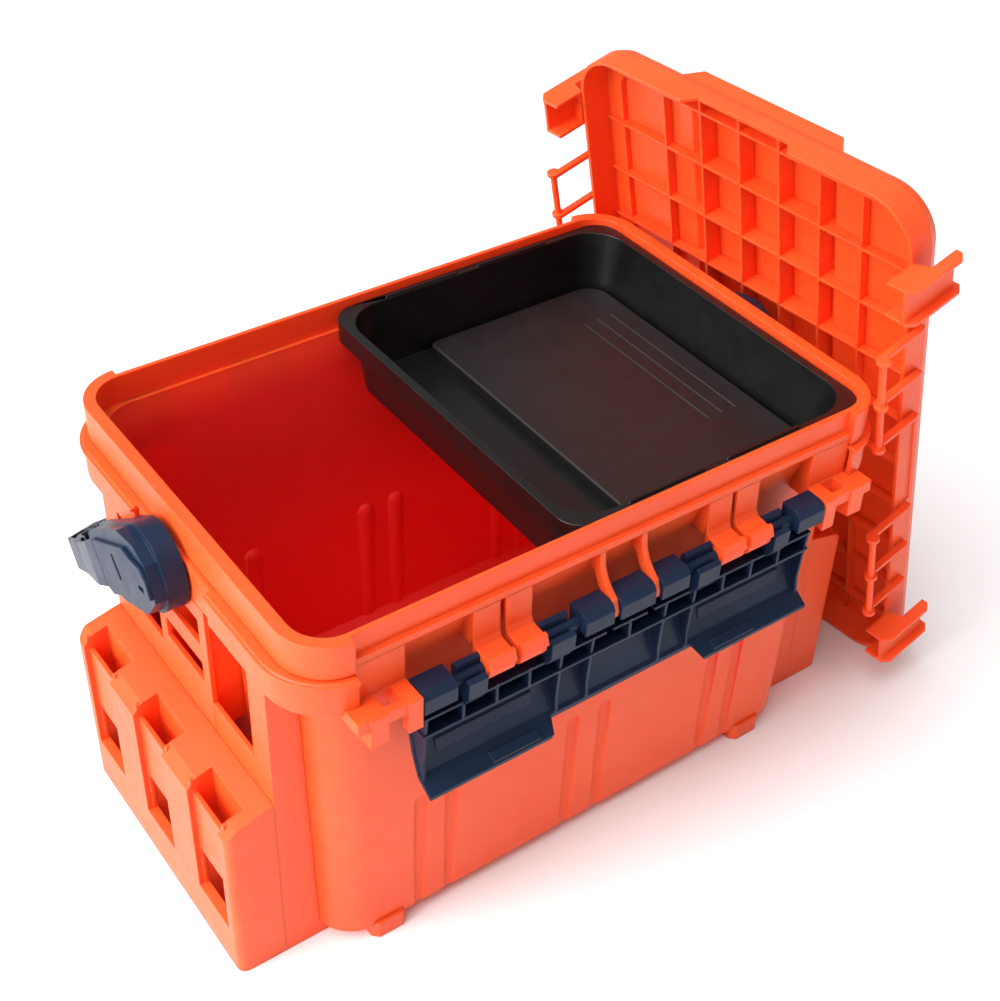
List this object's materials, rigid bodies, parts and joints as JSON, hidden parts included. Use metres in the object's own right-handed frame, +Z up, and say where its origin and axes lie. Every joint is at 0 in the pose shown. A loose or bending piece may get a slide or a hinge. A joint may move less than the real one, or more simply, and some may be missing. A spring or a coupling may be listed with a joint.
{
  "type": "fishing tackle box",
  "caption": "Open plastic tackle box with rod sockets in both ends, long snap latches, a folding bail, a lift-out tray and a loose ribbed lid leaning on one end.",
  "frame": {"origin": "middle of the tub's underside, on the ground", "axes": "+X along the box, towards the end where the lid leans; +Y towards the rear latch; +Z up"},
  "size_m": [0.5701, 0.3539, 0.4229],
  "materials": {
    "orange_plastic": "satin moulded polypropylene",
    "navy_plastic": "satin moulded plastic",
    "black_plastic": "satin moulded plastic",
    "board_plastic": "fine-grained matte plastic"
  },
  "bodies": {
    "tub": {"tub_shell": "orange_plastic", "corner_feet": "orange_plastic", "collar_left": "orange_plastic", "collar_right": "orange_plastic", "end_frame_left": "orange_plastic", "end_frame_right": "orange_plastic", "rod_holder_left": "orange_plastic", "rod_holder_right": "orange_plastic", "corner_bracket_front_left": "orange_plastic", "corner_bracket_front_right": "orange_plastic", "corner_bracket_rear_left": "orange_plastic", "corner_bracket_rear_right": "orange_plastic", "front_latch_hooks": "orange_plastic", "rear_latch_hooks": "orange_plastic", "pivot_pin_left": "orange_plastic", "pivot_pin_right": "orange_plastic"},
    "front_latch": {"front_latch_panel": "navy_plastic", "front_latch_bar": "navy_plastic"},
    "rear_latch": {"rear_latch_panel": "navy_plastic", "rear_latch_bar": "navy_plastic"},
    "bail": {"bail_arm_left": "navy_plastic", "bail_arm_right": "navy_plastic", "bail_hub_cap_left": "navy_plastic", "bail_hub_cap_right": "navy_plastic", "bail_grip": "navy_plastic"},
    "tray": {"tray_pan": "black_plastic", "tray_board": "board_plastic"},
    "lid": {"lid_shell": "orange_plastic", "lid_ribs": "orange_plastic", "lid_pins_front": "orange_plastic", "lid_pins_rear": "orange_plastic", "lid_guard_front_foot": "orange_plastic", "lid_guard_front_head": "orange_plastic", "lid_guard_rear_foot": "orange_plastic", "lid_guard_rear_head": "orange_plastic"}
  },
  "joints": [
    {"name": "front_latch_swing", "type": "hinge", "parent": "tub", "child": "front_latch", "pos_m": [0, -0.154, 0.2345], "axis": [-1, 0, 0], "range_deg": [0, 176]},
    {"name": "rear_latch_swing", "type": "hinge", "parent": "tub", "child": "rear_latch", "pos_m": [0, 0.154, 0.2345], "axis": [1, 0, 0], "range_deg": [0, 176]},
    {"name": "bail_swing", "type": "hinge", "parent": "tub", "child": "bail", "pos_m": [0, 0, 0.255], "axis": [1, 0, 0], "range_deg": [0, 248]},
    {"name": "tray_lift", "type": "slide", "parent": "tub", "child": "tray", "axis": [0, 0, 1], "range_m": [0, 0.1]},
    {"name": "lid_away", "type": "slide", "parent": "tub", "child": "lid", "axis": [0.975, 0.085, 0.2055], "range_m": [0, 0.35]}
  ],
  "couplings": [
    {"joint": "lid_away", "follows": "bail_swing", "m_per_rad": 0.0808}
  ]
}
